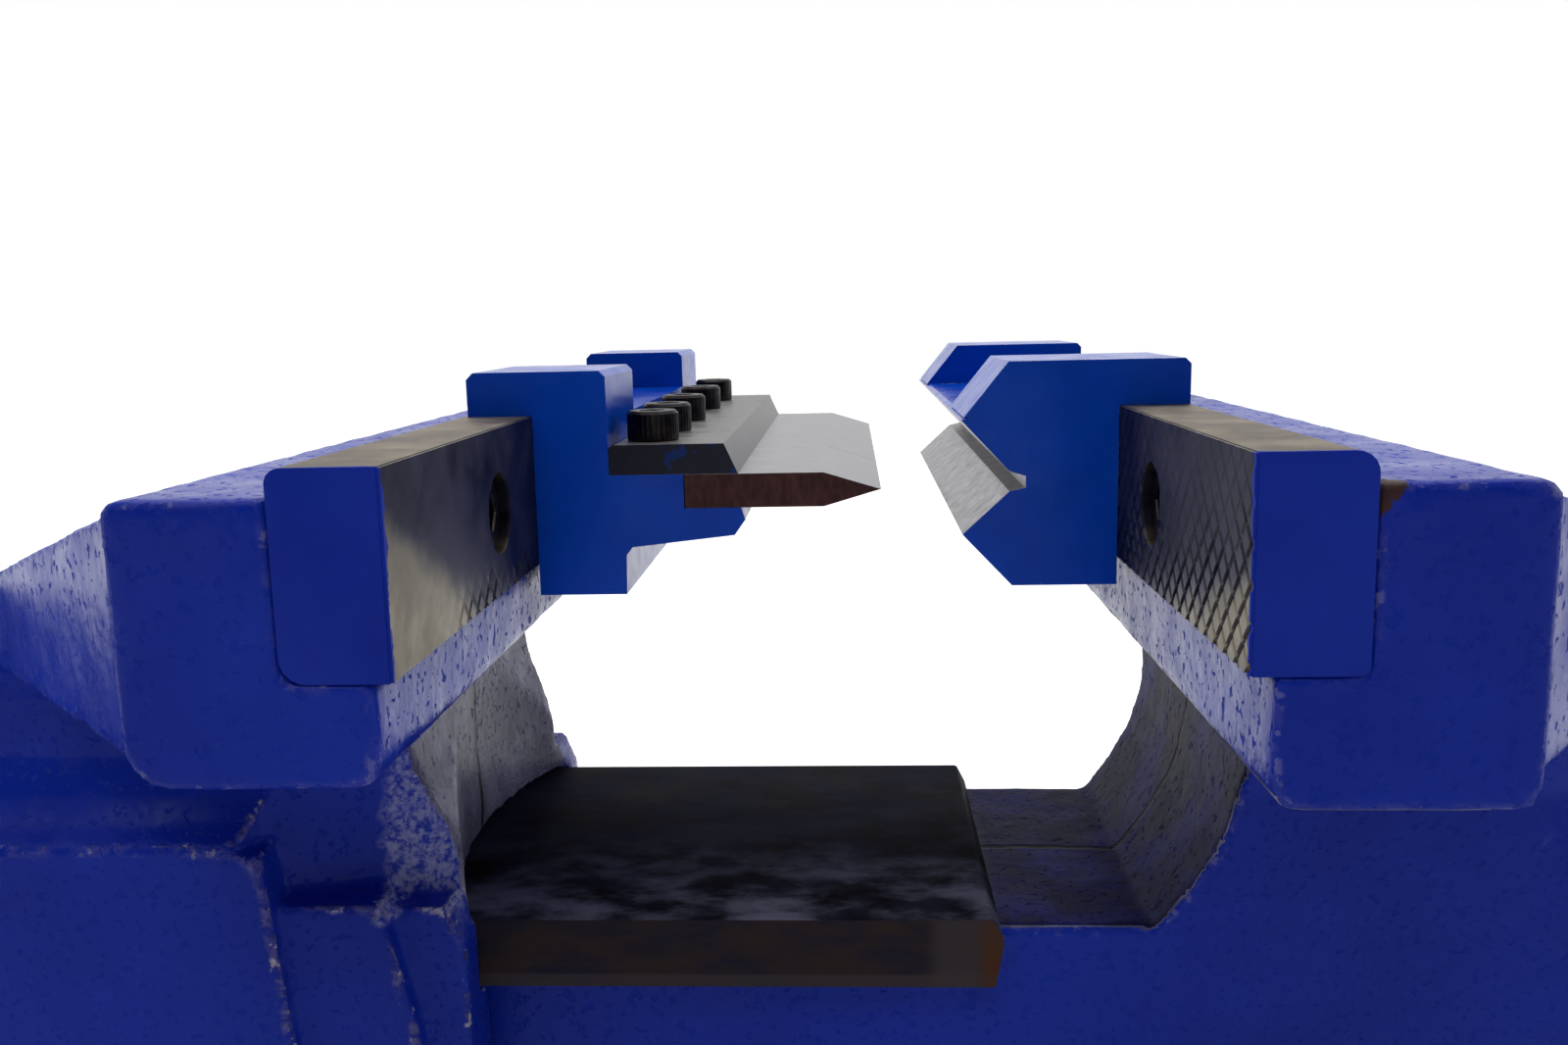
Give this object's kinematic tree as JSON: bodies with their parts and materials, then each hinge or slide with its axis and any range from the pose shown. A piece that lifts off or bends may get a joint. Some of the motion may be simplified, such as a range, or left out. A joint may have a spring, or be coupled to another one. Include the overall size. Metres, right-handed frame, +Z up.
{
  "type": "bench vise",
  "caption": "Cast bench vise on a swivel base, with a magnetic press-brake bending punch and V die hooked over its jaw inserts.",
  "frame": {"origin": "centre of the swivel base's underside, on the swivel axis", "axes": "+X from the fixed jaw to the handle, +Y across the jaws, +Z up"},
  "size_m": [0.493, 0.294, 0.2573],
  "materials": {
    "casting_paint": "gloss enamel over rough casting",
    "tool_paint": "satin enamel",
    "insert_steel": "worn hardened steel",
    "punch_steel": "ground steel, mottled",
    "bright_steel": "turned steel",
    "dark_steel": "dark forged steel",
    "black_oxide": "black oxide",
    "bronze": "cast bronze",
    "magnet_nickel": "nickel plate"
  },
  "bodies": {
    "base": {"swivel_base": "casting_paint", "pivot_stud": "dark_steel"},
    "body": {"body_casting": "casting_paint", "rear_cover": "dark_steel", "rear_cover_screws": "black_oxide", "screw_nut": "bronze", "nut_bolts": "black_oxide", "fixed_jaw_insert": "insert_steel", "fixed_insert_screws": "black_oxide", "near_lock_bolt": "dark_steel", "far_lock_bolt": "dark_steel"},
    "near_lever": {"near_lock_lever": "dark_steel"},
    "far_lever": {"far_lock_lever": "dark_steel"},
    "moving_jaw": {"moving_jaw_casting": "casting_paint", "moving_jaw_insert": "insert_steel", "moving_insert_screws": "black_oxide", "thrust_washer": "bright_steel"},
    "screw": {"lead_screw": "bright_steel", "retaining_collar": "dark_steel", "collar_pin": "bright_steel"},
    "handle": {"handle_bar": "bright_steel", "near_handle_knob": "bright_steel", "far_handle_knob": "bright_steel"},
    "punch": {"punch_holder": "tool_paint", "clamp_bar": "punch_steel", "clamp_screws": "black_oxide", "near_punch_finger": "punch_steel", "middle_punch_finger": "punch_steel", "far_punch_finger": "punch_steel", "holder_magnets": "magnet_nickel"},
    "die": {"die_block": "tool_paint", "die_magnets": "magnet_nickel"}
  },
  "joints": [
    {"name": "swivel", "type": "hinge", "parent": "base", "child": "body", "pos_m": [0, 0, 0.048], "axis": [0, 0, 1], "continuous": true},
    {"name": "near_lock", "type": "hinge", "parent": "body", "child": "near_lever", "pos_m": [0, -0.068, 0.07], "axis": [0, 0, 1], "range_deg": [-25, 50]},
    {"name": "far_lock", "type": "hinge", "parent": "body", "child": "far_lever", "pos_m": [0, 0.068, 0.07], "axis": [0, 0, 1], "range_deg": [-50, 25]},
    {"name": "jaw_slide", "type": "slide", "parent": "body", "child": "moving_jaw", "axis": [1, 0, 0], "range_m": [-0.02, 0.104]},
    {"name": "screw_turn", "type": "hinge", "parent": "moving_jaw", "child": "screw", "pos_m": [0.3, 0, 0.122], "axis": [1, 0, 0], "range_deg": [-1440, 7488]},
    {"name": "handle_slide", "type": "slide", "parent": "screw", "child": "handle", "axis": [0, 1, 0], "range_m": [-0.088, 0.088]},
    {"name": "punch_lift", "type": "slide", "parent": "body", "child": "punch", "axis": [0, 0, 1], "range_m": [0, 0.06]},
    {"name": "die_lift", "type": "slide", "parent": "moving_jaw", "child": "die", "axis": [0, 0, 1], "range_m": [0, 0.06]}
  ],
  "couplings": [
    {"joint": "jaw_slide", "follows": "screw_turn", "m_per_rad": 0.00079577}
  ]
}
